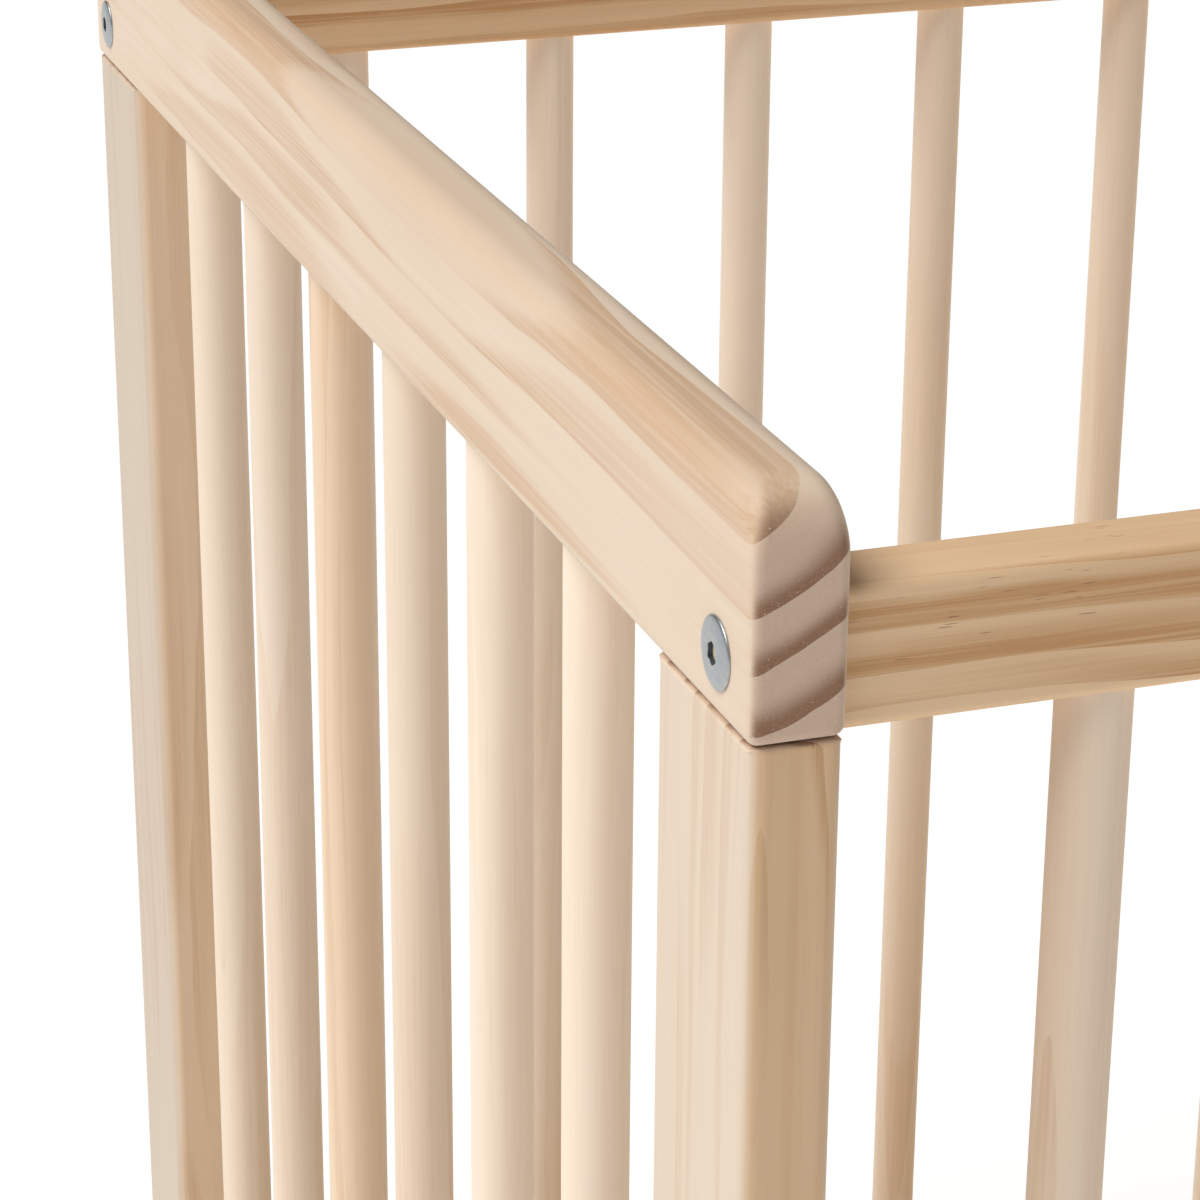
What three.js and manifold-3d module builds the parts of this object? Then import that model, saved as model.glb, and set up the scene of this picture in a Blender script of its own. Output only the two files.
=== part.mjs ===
// Square, bolt-together playpen in unfinished pine.
//
// Two side panels (left and right) each have two flat posts capped by a deep rounded top rail,
// a bottom rail tenoned between the posts, and a row of round spindles. The front and back panels
// have no posts: their slimmer rails butt against the side panels and are drawn up by flat-headed
// connector bolts that screw into steel barrel nuts. A loose base board lies on two battens.
//
// Millimetres. +X is right, +Y is back, +Z is up. The origin is on the floor, under the middle.

import * as THREE from 'three';
import { mergeVertices } from 'three/addons/utils/BufferGeometryUtils.js';
import Module from 'manifold-3d';

// Overall size
const PEN_WIDTH = 665;
const PEN_DEPTH = 665;
const PEN_HEIGHT = 740;

// Side panels
const SIDE_RAIL_THICKNESS = 23;
const SIDE_RAIL_HEIGHT = 58;
const SIDE_RAIL_TOP_ROUND = 8;
const SIDE_RAIL_END_CORNER = 16;
const SIDE_RAIL_ARRIS = 3;
const POST_THICKNESS = 22;
const POST_WIDTH = 60;
const POST_FACE_INSET = 0.5;
const POST_ARRIS = 4;
const POST_END_ARRIS = 1.5;
const SIDE_SPINDLES = 6;
const SIDE_END_GAP = 62;

// Front and back panels, and the bottom rails of all four
const RAIL_THICKNESS = 22;
const RAIL_HEIGHT = 34;
const RAIL_ARRIS = 3;
const RAIL_SETBACK = 5;
const TOP_RAIL_DROP = 1;
const BOTTOM_RAIL_CLEARANCE = 50;
const CROSS_SPINDLES = 7;
const CROSS_END_GAP = 57.5;

// Spindles and wood joints
const SPINDLE_DIAMETER = 18;
const SPINDLE_SEAT = 12;
const SPINDLE_CHAMFER = 1;
const SEAT_CLEARANCE = 0.3;
const TENON_LENGTH = 20;
const TENON_THICKNESS = 8;
const POST_TENON_SHOULDER = 10;
const POST_TENON_WALL = 4;
const RAIL_TENON_HEIGHT = 24;
const SHOULDER_GAP = 0.3;

// Connector bolts and barrel nuts
const BOLT_HEAD_DIAMETER = 17;
const BOLT_HEAD_RIM = 0.5;
const BOLT_HEAD_HEIGHT = 1.3;
const BOLT_HEAD_BEVEL = 3.2;
const BOLT_DIAMETER = 6;
const BOLT_LENGTH = 60;
const BOLT_TIP_CHAMFER = 0.8;
const BOLT_HOLE_DIAMETER = 7;
const BOLT_HOLE_EXTRA = 4;
const BOLT_UP_FROM_RAIL = 15;
const BOLT_IN_FROM_RAIL = 7;
const SOCKET_ACROSS_FLATS = 5;
const SOCKET_DEPTH = 3;
const NUT_DIAMETER = 10;
const NUT_LENGTH = 12;
const NUT_CHAMFER = 0.6;
const NUT_FROM_JOINT = 28;
const NUT_CLEARANCE = 0.3;

// Base
const BASE_THICKNESS = 9;
const BASE_EDGE_GAP = 2.5;
const BASE_CORNER = 4;
const BATTEN_WIDTH = 20;
const BATTEN_HEIGHT = 20;
const BATTEN_END_GAP = 8;

// Mesh fineness
const ROUND_SEGMENTS = 20;
const ARRIS_SEGMENTS = 4;
const CORNER_SEGMENTS = 8;

// Heights and lines that follow from the sizes above
const RAIL_LINE = PEN_HEIGHT - SIDE_RAIL_HEIGHT;
const SIDE_X = (PEN_WIDTH - SIDE_RAIL_THICKNESS) / 2;
const CROSS_Y = PEN_DEPTH / 2 - RAIL_SETBACK - RAIL_THICKNESS / 2;
const UPPER_SPAN = PEN_WIDTH - 2 * SIDE_RAIL_THICKNESS;
const LOWER_SPAN = UPPER_SPAN + 2 * POST_FACE_INSET;
const POST_X = (LOWER_SPAN + POST_THICKNESS) / 2;
const POST_OUT = POST_X - SIDE_X; // how far the middle of a post stands outside that of its rail
const BOTTOM_RAIL_TOP = BOTTOM_RAIL_CLEARANCE + RAIL_HEIGHT;
const SPINDLE_LENGTH = RAIL_LINE - BOTTOM_RAIL_TOP + 2 * (SPINDLE_SEAT - SEAT_CLEARANCE);
const BATTEN_X = (LOWER_SPAN - BATTEN_WIDTH) / 2;
const CROSS_INNER_Y = CROSS_Y - RAIL_THICKNESS / 2;

const wasm = await Module();
wasm.setup();

// ---------------------------------------------------------------------------------------------
// Shapes

// A closed geometry as a solid that can be cut and joined.
function solidFrom(geometry) {
  const plain = geometry.index ? geometry.clone() : geometry;
  plain.deleteAttribute('normal');
  plain.deleteAttribute('uv');
  const merged = mergeVertices(plain, 1e-4);
  const vertProperties = new Float32Array(merged.attributes.position.array);
  const triVerts = new Uint32Array(merged.index.array);
  return new wasm.Manifold(new wasm.Mesh({ numProp: 3, vertProperties, triVerts }));
}

function geometryFrom(solid) {
  const mesh = solid.getMesh();
  const geometry = new THREE.BufferGeometry();
  geometry.setAttribute('position', new THREE.BufferAttribute(new Float32Array(mesh.vertProperties), 3));
  geometry.setIndex(new THREE.BufferAttribute(new Uint32Array(mesh.triVerts), 1));
  geometry.computeVertexNormals();
  return geometry;
}

function box(x, y, z, centre) {
  return solidFrom(new THREE.BoxGeometry(x, y, z).translate(...centre));
}

// A cylinder along one axis, starting at a point and running the given length.
function rod(diameter, length, axis, start) {
  const geometry = new THREE.CylinderGeometry(diameter / 2, diameter / 2, length, ROUND_SEGMENTS);
  geometry.translate(0, length / 2, 0);
  if (axis === 'x') geometry.rotateZ(-Math.PI / 2);
  if (axis === 'z') geometry.rotateX(Math.PI / 2);
  return solidFrom(geometry.translate(...start));
}

// A turned piece on the Z axis, from pairs of radius and height.
function turned(profile) {
  const points = profile.map(([radius, height]) => new THREE.Vector2(radius, height));
  return new THREE.LatheGeometry(points, ROUND_SEGMENTS).rotateX(Math.PI / 2);
}

// A plain moulded length along Z: a rectangle in X and Y with its four arrises rounded.
function moulding(width, height, length, arris) {
  const shape = new THREE.Shape();
  const x = width / 2 - arris;
  const y = height / 2 - arris;
  shape.absarc(x, y, arris, 0, Math.PI / 2);
  shape.absarc(-x, y, arris, Math.PI / 2, Math.PI);
  shape.absarc(-x, -y, arris, Math.PI, 1.5 * Math.PI);
  shape.absarc(x, -y, arris, 1.5 * Math.PI, 2 * Math.PI);
  shape.closePath();
  return new THREE.ExtrudeGeometry(shape, {
    depth: length,
    bevelEnabled: false,
    curveSegments: ARRIS_SEGMENTS,
  });
}

// The corners of a board seen from its side, in Y and Z, going round from the upper back corner.
// Every point of a corner knows which arris radii meet there and how far it has turned.
function boardOutline(length, height, corners, arrises) {
  const upper = { radius: corners.top, face: arrises.top };
  const lower = { radius: corners.bottom, face: arrises.bottom };
  const places = [
    { signY: 1, signZ: 1, reversed: false, ...upper },
    { signY: -1, signZ: 1, reversed: true, ...upper },
    { signY: -1, signZ: -1, reversed: false, ...lower },
    { signY: 1, signZ: -1, reversed: true, ...lower },
  ];
  const points = [];
  for (const place of places) {
    const segments = place.radius > POST_ARRIS ? CORNER_SEGMENTS : ARRIS_SEGMENTS;
    for (let i = 0; i <= segments; i += 1) {
      const turn = (place.reversed ? segments - i : i) / segments;
      points.push({ ...place, turn, end: arrises.end, halfLength: length / 2, height });
    }
  }
  return points;
}

// One point of the outline, drawn in by a share (0 to 1) of the arris radii that meet there.
function drawnIn(point, share) {
  const insetY = point.end * share;
  const insetZ = point.face * share;
  const radiusY = Math.max(point.radius - insetY, 0);
  const radiusZ = Math.max(point.radius - insetZ, 0);
  const angle = (point.turn * Math.PI) / 2;
  const y = point.halfLength - insetY - radiusY * (1 - Math.cos(angle));
  const drop = insetZ + radiusZ * (1 - Math.sin(angle));
  return [point.signY * y, point.signZ > 0 ? point.height - drop : drop];
}

// A board of even thickness in X whose edges are rounded all the way round its outline.
function softBoard(thickness, outline) {
  const rings = [];
  for (const side of [-1, 1]) {
    for (let i = 0; i <= ARRIS_SEGMENTS; i += 1) {
      const step = side < 0 ? i : ARRIS_SEGMENTS - i;
      const angle = (step / ARRIS_SEGMENTS) * (Math.PI / 2);
      rings.push(outline.map((point) => {
        const arris = THREE.MathUtils.lerp(point.end, point.face, point.turn);
        const x = side * (thickness / 2 - arris * (1 - Math.cos(angle)));
        return [x, ...drawnIn(point, 1 - Math.sin(angle))];
      }));
    }
  }
  const count = outline.length;
  const triangles = [];
  for (let ring = 0; ring + 1 < rings.length; ring += 1) {
    for (let i = 0; i < count; i += 1) {
      const a = ring * count + i;
      const b = ring * count + ((i + 1) % count);
      triangles.push(a, b, a + count, b, b + count, a + count);
    }
  }
  const last = (rings.length - 1) * count;
  for (let i = 1; i + 1 < count; i += 1) {
    triangles.push(0, i + 1, i);
    triangles.push(last, last + i, last + i + 1);
  }
  const geometry = new THREE.BufferGeometry();
  geometry.setAttribute('position', new THREE.Float32BufferAttribute(rings.flat(2), 3));
  geometry.setIndex(triangles);
  return solidFrom(geometry);
}

// Places along a row, given the middle of the first and the last piece.
function evenRow(count, halfSpan) {
  return Array.from({ length: count }, (_, i) => -halfSpan + (2 * halfSpan * i) / (count - 1));
}

// ---------------------------------------------------------------------------------------------
// Spacing of the spindles

const sideRow = evenRow(
  SIDE_SPINDLES,
  PEN_DEPTH / 2 - POST_WIDTH - SIDE_END_GAP - SPINDLE_DIAMETER / 2,
);
const crossRow = evenRow(CROSS_SPINDLES, UPPER_SPAN / 2 - CROSS_END_GAP - SPINDLE_DIAMETER / 2);

// ---------------------------------------------------------------------------------------------
// Materials

const wood = (color) => new THREE.MeshStandardMaterial({ color, roughness: 0.72, metalness: 0 });
const railPine = wood('#e4cbae');
const postPine = wood('#e5d0b2');
const crossPine = wood('#d8b78f');
const spindlePine = wood('#e2cfb4');
const basePly = wood('#dcc39c');
const zinc = new THREE.MeshStandardMaterial({ color: '#b9bec0', roughness: 0.32, metalness: 0.9 });

const playpen = new THREE.Group();

function addPiece(name, geometry, material, position, turn = 0) {
  const piece = new THREE.Mesh(geometry, material);
  piece.name = name;
  piece.position.set(...position);
  piece.rotation.z = turn;
  playpen.add(piece);
}

// ---------------------------------------------------------------------------------------------
// Side top rails: deep rails with well rounded upper edges and upper end corners. Underneath they
// are drilled for the spindles and mortised for the posts, and both ends are drilled for a bolt.

const spindleHole = SPINDLE_DIAMETER + 2 * SEAT_CLEARANCE;
const boltY = CROSS_INNER_Y + BOLT_IN_FROM_RAIL;
const postY = (PEN_DEPTH - POST_WIDTH) / 2;
const tenonOuterY = boltY - BOLT_HOLE_DIAMETER / 2 - POST_TENON_WALL;
const tenonInnerY = PEN_DEPTH / 2 - POST_WIDTH + POST_TENON_SHOULDER;
const tenonY = (tenonOuterY + tenonInnerY) / 2;
const postTenonWidth = tenonOuterY - tenonInnerY;

const sideRailOutline = boardOutline(
  PEN_DEPTH,
  SIDE_RAIL_HEIGHT,
  { top: SIDE_RAIL_END_CORNER, bottom: SIDE_RAIL_ARRIS },
  { top: SIDE_RAIL_TOP_ROUND, end: SIDE_RAIL_ARRIS, bottom: SIDE_RAIL_ARRIS },
);
let sideRail = softBoard(SIDE_RAIL_THICKNESS, sideRailOutline);
for (const y of sideRow) {
  sideRail = sideRail.subtract(rod(spindleHole, SPINDLE_SEAT + 5, 'z', [0, y, -5]));
}
for (const end of [-1, 1]) {
  const depth = TENON_LENGTH + SEAT_CLEARANCE;
  sideRail = sideRail.subtract(box(
    TENON_THICKNESS + 2 * SEAT_CLEARANCE,
    postTenonWidth + 2 * SEAT_CLEARANCE,
    depth + 5,
    [-POST_OUT, end * tenonY, (depth - 5) / 2],
  ));
  sideRail = sideRail.subtract(rod(
    BOLT_HOLE_DIAMETER,
    2 * SIDE_RAIL_THICKNESS,
    'x',
    [-SIDE_RAIL_THICKNESS, end * boltY, BOLT_UP_FROM_RAIL],
  ));
}
const sideRailGeometry = geometryFrom(sideRail);
addPiece('left_top_rail', sideRailGeometry, railPine, [-SIDE_X, 0, RAIL_LINE]);
addPiece('right_top_rail', sideRailGeometry, railPine, [SIDE_X, 0, RAIL_LINE], Math.PI);

// ---------------------------------------------------------------------------------------------
// Posts: flat posts that reach the floor, with a tenon on top for the rail above, a mortise in the
// inner edge for the bottom rail, and a hole for the lower bolt.

const postHeight = RAIL_LINE - SHOULDER_GAP;
const lowerBoltZ = BOTTOM_RAIL_CLEARANCE + BOLT_UP_FROM_RAIL;
const tenonZ = BOTTOM_RAIL_CLEARANCE + RAIL_HEIGHT / 2;

const postOutline = boardOutline(
  POST_WIDTH,
  postHeight,
  { top: POST_END_ARRIS, bottom: POST_END_ARRIS },
  { top: POST_END_ARRIS, end: POST_ARRIS, bottom: POST_END_ARRIS },
);
const postTenon = box(
  TENON_THICKNESS,
  postTenonWidth,
  2 * TENON_LENGTH,
  [0, postY - tenonY, postHeight],
);
const postMortise = box(
  TENON_THICKNESS + 2 * SEAT_CLEARANCE,
  TENON_LENGTH + SEAT_CLEARANCE + 5,
  RAIL_TENON_HEIGHT + 2 * SEAT_CLEARANCE,
  [0, (POST_WIDTH - TENON_LENGTH - SEAT_CLEARANCE + 5) / 2, tenonZ],
);
const postBoltHole = rod(
  BOLT_HOLE_DIAMETER,
  2 * POST_THICKNESS,
  'x',
  [-POST_THICKNESS, postY - boltY, lowerBoltZ],
);
const postGeometry = geometryFrom(
  softBoard(POST_THICKNESS, postOutline).add(postTenon).subtract(postMortise).subtract(postBoltHole),
);
for (const [side, x] of [['left', -POST_X], ['right', POST_X]]) {
  addPiece(`${side}_front_post`, postGeometry, postPine, [x, -postY, 0]);
  addPiece(`${side}_back_post`, postGeometry, postPine, [x, postY, 0], Math.PI);
}

// ---------------------------------------------------------------------------------------------
// Side bottom rails: as thick as the posts that they are tenoned into, and drilled from above for
// the spindles.

const sideBottomLength = PEN_DEPTH - 2 * POST_WIDTH - 2 * SHOULDER_GAP;
let sideBottom = solidFrom(
  moulding(POST_THICKNESS, RAIL_HEIGHT, sideBottomLength, RAIL_ARRIS)
    .rotateX(Math.PI / 2)
    .translate(0, sideBottomLength / 2, RAIL_HEIGHT / 2),
);
sideBottom = sideBottom.add(box(
  TENON_THICKNESS,
  PEN_DEPTH - 2 * POST_WIDTH + 2 * TENON_LENGTH - 2 * SHOULDER_GAP,
  RAIL_TENON_HEIGHT,
  [0, 0, RAIL_HEIGHT / 2],
));
for (const y of sideRow) {
  sideBottom = sideBottom.subtract(
    rod(spindleHole, SPINDLE_SEAT + 5, 'z', [POST_OUT, y, RAIL_HEIGHT - SPINDLE_SEAT]),
  );
}
const sideBottomGeometry = geometryFrom(sideBottom);
for (const [side, x, turn] of [['left', -POST_X, 0], ['right', POST_X, Math.PI]]) {
  addPiece(`${side}_bottom_rail`, sideBottomGeometry, crossPine, [x, 0, BOTTOM_RAIL_CLEARANCE], turn);
}

// ---------------------------------------------------------------------------------------------
// Front and back rails: each end is drilled for a bolt, and from the inside for its barrel nut.
// The top rails hang a little below the side rails and take the spindles from below. The bottom
// rails take them from above.

const nutHole = NUT_DIAMETER + 2 * NUT_CLEARANCE;
const nutPocket = BOLT_IN_FROM_RAIL + NUT_LENGTH / 2 + NUT_CLEARANCE;

function crossRail(span, clampedThickness, drillFrom, drop) {
  const length = span - 2 * SHOULDER_GAP;
  let rail = solidFrom(
    moulding(RAIL_HEIGHT, RAIL_THICKNESS, length, RAIL_ARRIS)
      .rotateY(Math.PI / 2)
      .translate(-length / 2, 0, RAIL_HEIGHT / 2),
  );
  for (const x of crossRow) {
    const start = drillFrom === 'below' ? -5 : RAIL_HEIGHT - SPINDLE_SEAT;
    rail = rail.subtract(rod(spindleHole, SPINDLE_SEAT + drop + 5, 'z', [x, 0, start]));
  }
  const boltReach = BOLT_LENGTH - clampedThickness + BOLT_HOLE_EXTRA;
  const boltLine = RAIL_THICKNESS / 2 - BOLT_IN_FROM_RAIL;
  for (const end of [-1, 1]) {
    const mouth = span / 2 + 5;
    rail = rail.subtract(rod(
      BOLT_HOLE_DIAMETER,
      boltReach + 5,
      'x',
      [end < 0 ? -mouth : mouth - boltReach - 5, boltLine, BOLT_UP_FROM_RAIL + drop],
    ));
    rail = rail.subtract(rod(
      nutHole,
      nutPocket + 5,
      'y',
      [end * (span / 2 - NUT_FROM_JOINT), RAIL_THICKNESS / 2 - nutPocket, BOLT_UP_FROM_RAIL + drop],
    ));
  }
  return geometryFrom(rail);
}

const crossTop = crossRail(UPPER_SPAN, SIDE_RAIL_THICKNESS, 'below', TOP_RAIL_DROP);
const crossBottom = crossRail(LOWER_SPAN, POST_THICKNESS, 'above', 0);
const crossTopZ = RAIL_LINE - TOP_RAIL_DROP;
addPiece('front_top_rail', crossTop, crossPine, [0, -CROSS_Y, crossTopZ]);
addPiece('front_bottom_rail', crossBottom, crossPine, [0, -CROSS_Y, BOTTOM_RAIL_CLEARANCE]);
addPiece('back_top_rail', crossTop, crossPine, [0, CROSS_Y, crossTopZ], Math.PI);
addPiece('back_bottom_rail', crossBottom, crossPine, [0, CROSS_Y, BOTTOM_RAIL_CLEARANCE], Math.PI);

// ---------------------------------------------------------------------------------------------
// Spindles: plain round rods with lightly chamfered ends, seated in blind holes at both ends.

const spindleRadius = SPINDLE_DIAMETER / 2;
const spindleGeometry = turned([
  [0, 0],
  [spindleRadius - SPINDLE_CHAMFER, 0],
  [spindleRadius, SPINDLE_CHAMFER],
  [spindleRadius, SPINDLE_LENGTH - SPINDLE_CHAMFER],
  [spindleRadius - SPINDLE_CHAMFER, SPINDLE_LENGTH],
  [0, SPINDLE_LENGTH],
]);
const spindleZ = BOTTOM_RAIL_TOP - SPINDLE_SEAT + SEAT_CLEARANCE;
for (const [side, x] of [['left', -SIDE_X], ['right', SIDE_X]]) {
  sideRow.forEach((y, i) => {
    addPiece(`${side}_spindle_${i + 1}`, spindleGeometry, spindlePine, [x, y, spindleZ]);
  });
}
for (const [side, y] of [['front', -CROSS_Y], ['back', CROSS_Y]]) {
  crossRow.forEach((x, i) => {
    addPiece(`${side}_spindle_${i + 1}`, spindleGeometry, spindlePine, [x, y, spindleZ]);
  });
}

// ---------------------------------------------------------------------------------------------
// Connector bolts: broad low heads with a bevelled rim and a hexagon socket, lying along X. The
// upper ones go through the side top rails, the lower ones through the posts.

const headRadius = BOLT_HEAD_DIAMETER / 2;
const shankRadius = BOLT_DIAMETER / 2;
const socketRadius = SOCKET_ACROSS_FLATS / Math.sqrt(3);

function boltGeometry() {
  const body = solidFrom(turned([
    [0, -BOLT_HEAD_HEIGHT],
    [headRadius - BOLT_HEAD_BEVEL, -BOLT_HEAD_HEIGHT],
    [headRadius, -BOLT_HEAD_RIM],
    [headRadius, 0],
    [shankRadius, 0],
    [shankRadius, BOLT_LENGTH - BOLT_TIP_CHAMFER],
    [shankRadius - BOLT_TIP_CHAMFER, BOLT_LENGTH],
    [0, BOLT_LENGTH],
  ]));
  const key = new THREE.CylinderGeometry(socketRadius, socketRadius, 2 * SOCKET_DEPTH, 6);
  key.rotateX(Math.PI / 2).translate(0, 0, -BOLT_HEAD_HEIGHT);
  return geometryFrom(body.subtract(solidFrom(key))).rotateY(Math.PI / 2);
}

const bolt = boltGeometry();
const postFace = LOWER_SPAN / 2 + POST_THICKNESS;
for (const [side, sign] of [['left', -1], ['right', 1]]) {
  for (const [end, y] of [['front', -boltY], ['back', boltY]]) {
    const turn = sign < 0 ? 0 : Math.PI;
    const upper = [sign * PEN_WIDTH / 2, y, RAIL_LINE + BOLT_UP_FROM_RAIL];
    const lower = [sign * postFace, y, lowerBoltZ];
    addPiece(`${side}_${end}_upper_bolt`, bolt, zinc, upper, turn);
    addPiece(`${side}_${end}_lower_bolt`, bolt, zinc, lower, turn);
  }
}

// ---------------------------------------------------------------------------------------------
// Barrel nuts: short steel dowels across the front and back rails, each with a cross hole.

const nutRadius = NUT_DIAMETER / 2;
const nutBody = solidFrom(turned([
  [0, -NUT_LENGTH / 2],
  [nutRadius - NUT_CHAMFER, -NUT_LENGTH / 2],
  [nutRadius, -NUT_LENGTH / 2 + NUT_CHAMFER],
  [nutRadius, NUT_LENGTH / 2 - NUT_CHAMFER],
  [nutRadius - NUT_CHAMFER, NUT_LENGTH / 2],
  [0, NUT_LENGTH / 2],
]).rotateX(Math.PI / 2));
const nutThread = rod(
  BOLT_DIAMETER + 2 * NUT_CLEARANCE,
  2 * NUT_DIAMETER,
  'x',
  [-NUT_DIAMETER, 0, 0],
);
const nutGeometry = geometryFrom(nutBody.subtract(nutThread));
const upperNutX = UPPER_SPAN / 2 - NUT_FROM_JOINT;
const lowerNutX = LOWER_SPAN / 2 - NUT_FROM_JOINT;
for (const [side, y] of [['front', -boltY], ['back', boltY]]) {
  for (const [end, sign] of [['left', -1], ['right', 1]]) {
    const upper = [sign * upperNutX, y, RAIL_LINE + BOLT_UP_FROM_RAIL];
    addPiece(`${side}_${end}_upper_nut`, nutGeometry, zinc, upper);
    addPiece(`${side}_${end}_lower_nut`, nutGeometry, zinc, [sign * lowerNutX, y, lowerBoltZ]);
  }
}

// ---------------------------------------------------------------------------------------------
// Base: a plywood board that lies loose on two battens glued along the insides of the side panels.

const battenLength = 2 * (CROSS_INNER_Y - BATTEN_END_GAP);
const battenGeometry = moulding(BATTEN_WIDTH, BATTEN_HEIGHT, battenLength, 1)
  .rotateX(Math.PI / 2)
  .translate(0, battenLength / 2, BATTEN_HEIGHT / 2);
addPiece('left_batten', battenGeometry, crossPine, [-BATTEN_X, 0, BOTTOM_RAIL_CLEARANCE]);
addPiece('right_batten', battenGeometry, crossPine, [BATTEN_X, 0, BOTTOM_RAIL_CLEARANCE]);

const baseGeometry = moulding(
  Math.min(UPPER_SPAN, LOWER_SPAN) - 2 * BASE_EDGE_GAP,
  2 * (CROSS_INNER_Y - BASE_EDGE_GAP),
  BASE_THICKNESS,
  BASE_CORNER,
);
const baseZ = BOTTOM_RAIL_CLEARANCE + BATTEN_HEIGHT;
addPiece('base_board', baseGeometry, basePly, [0, 0, baseZ]);

export default playpen;
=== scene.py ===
import math
import random
import bmesh
import bpy
from mathutils import Matrix, Vector


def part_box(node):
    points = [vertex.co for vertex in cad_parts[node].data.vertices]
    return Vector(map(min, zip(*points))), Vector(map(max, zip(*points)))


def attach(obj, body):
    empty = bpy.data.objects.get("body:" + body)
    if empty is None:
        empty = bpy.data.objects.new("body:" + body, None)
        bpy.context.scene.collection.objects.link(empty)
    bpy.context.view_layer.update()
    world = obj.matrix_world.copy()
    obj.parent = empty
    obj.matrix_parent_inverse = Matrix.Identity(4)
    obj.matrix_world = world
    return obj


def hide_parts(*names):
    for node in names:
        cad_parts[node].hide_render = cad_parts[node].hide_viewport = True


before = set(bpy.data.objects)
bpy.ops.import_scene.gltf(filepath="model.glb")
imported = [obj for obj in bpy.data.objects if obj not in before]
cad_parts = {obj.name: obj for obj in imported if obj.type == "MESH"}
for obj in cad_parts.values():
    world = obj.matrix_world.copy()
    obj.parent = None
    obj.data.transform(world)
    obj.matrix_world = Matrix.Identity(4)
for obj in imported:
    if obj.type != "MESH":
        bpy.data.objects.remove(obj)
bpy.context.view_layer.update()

MM = 0.001


# --- Side top rails -------------------------------------------------------------------------
# Two deep pine rails that cap the posts of the side panels. The upper edges and the upper end
# corners are moulded round, every other arris is just eased, and the wood is left bare.
class Value:
    """A value among shader nodes. Arithmetic on it adds Math nodes."""

    def __init__(self, nodes, socket):
        self.nodes, self.socket = nodes, socket

    def _math(self, operation, *values):
        return self.nodes.node("ShaderNodeMath", {"operation": operation}, dict(enumerate(values)))

    def __add__(self, other): return self._math("ADD", self, other)
    def __radd__(self, other): return self._math("ADD", other, self)
    def __sub__(self, other): return self._math("SUBTRACT", self, other)
    def __rsub__(self, other): return self._math("SUBTRACT", other, self)
    def __mul__(self, other): return self._math("MULTIPLY", self, other)
    def __rmul__(self, other): return self._math("MULTIPLY", other, self)
    def __truediv__(self, other): return self._math("DIVIDE", self, other)
    def __rtruediv__(self, other): return self._math("DIVIDE", other, self)
    def __abs__(self): return self._math("ABSOLUTE", self)
    def root(self): return self._math("SQRT", self)
    def part(self): return self._math("FRACT", self)

    def between(self, low, high):
        """0 below low, 1 above high, smooth in between."""
        return self.nodes.node(
            "ShaderNodeMapRange",
            {"interpolation_type": "SMOOTHSTEP"},
            {"Value": self, "From Min": low, "From Max": high},
        )

    def ramp(self, *stops):
        """A curve through (place, height) stops."""
        made = self.nodes.node("ShaderNodeValToRGB", {}, {"Fac": self})
        band = made.socket.node.color_ramp
        while len(band.elements) < len(stops):
            band.elements.new(1.0)
        for element, (place, height) in zip(band.elements, stops):
            element.position = place
            element.color = (height, height, height, 1.0)
        return made


class Nodes:
    """The shader nodes of a material, or of the studio."""

    def __init__(self, owner):
        owner.use_nodes = True
        self.tree = owner.node_tree
        self.tree.nodes.clear()

    def node(self, kind, settings, sockets, output=0):
        """Any node: its type, its settings, then the value or link of each of its sockets."""
        made = self.tree.nodes.new(kind)
        for setting, value in settings.items():
            setattr(made, setting, value)
        for socket, value in sockets.items():
            self.feed(made.inputs[socket], value)
        return Value(self, made.outputs[output])

    def feed(self, socket, value):
        if isinstance(value, Value):
            self.tree.links.new(value.socket, socket)
        else:
            socket.default_value = value

    def ends_in(self, kind, surface):
        self.feed(self.tree.nodes.new(kind).inputs["Surface"], surface)


class Finish(Nodes):
    """A material in the making, around one Principled shader."""

    def __init__(self, name):
        self.material = bpy.data.materials.new(name)
        super().__init__(self.material)
        surface = self.node("ShaderNodeBsdfPrincipled", {}, {})
        self.shader = surface.socket.node
        self.ends_in("ShaderNodeOutputMaterial", surface)

    def sets(self, **sockets):
        """Feeds the shader's own sockets, such as base_color."""
        for name, value in sockets.items():
            self.feed(self.shader.inputs[name.replace("_", " ").title().replace("Ior", "IOR")], value)

    def attribute(self, name):
        return self.node("ShaderNodeAttribute", {"attribute_name": name}, {}, "Vector")

    def parts(self, vector):
        split = self.node("ShaderNodeSeparateXYZ", {}, {0: vector}).socket.node
        return [Value(self, out) for out in split.outputs]

    def vector(self, x, y, z):
        return self.node("ShaderNodeCombineXYZ", {}, {0: x, 1: y, 2: z})

    def scaled(self, colour, factor):
        return self.node(
            "ShaderNodeVectorMath", {"operation": "SCALE"}, {0: colour, "Scale": factor}, "Vector",
        )

    def noise(self, vector, detail=2.0, roughness=0.5, output="Fac"):
        sockets = {"Vector": vector, "Scale": 1.0, "Detail": detail, "Roughness": roughness}
        return self.node("ShaderNodeTexNoise", {}, sockets, output)

    def mix(self, share, first, second, blend="MIX"):
        sockets = {0: share, 6: first, 7: second}
        return self.node("ShaderNodeMix", {"data_type": "RGBA", "blend_type": blend}, sockets, 2)


def srgb(red, green, blue):
    """A colour given in screen values from 0 to 255."""
    def linear(value):
        value /= 255.0
        return value / 12.92 if value <= 0.04045 else ((value + 0.055) / 1.055) ** 2.4
    return linear(red), linear(green), linear(blue), 1.0


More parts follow.
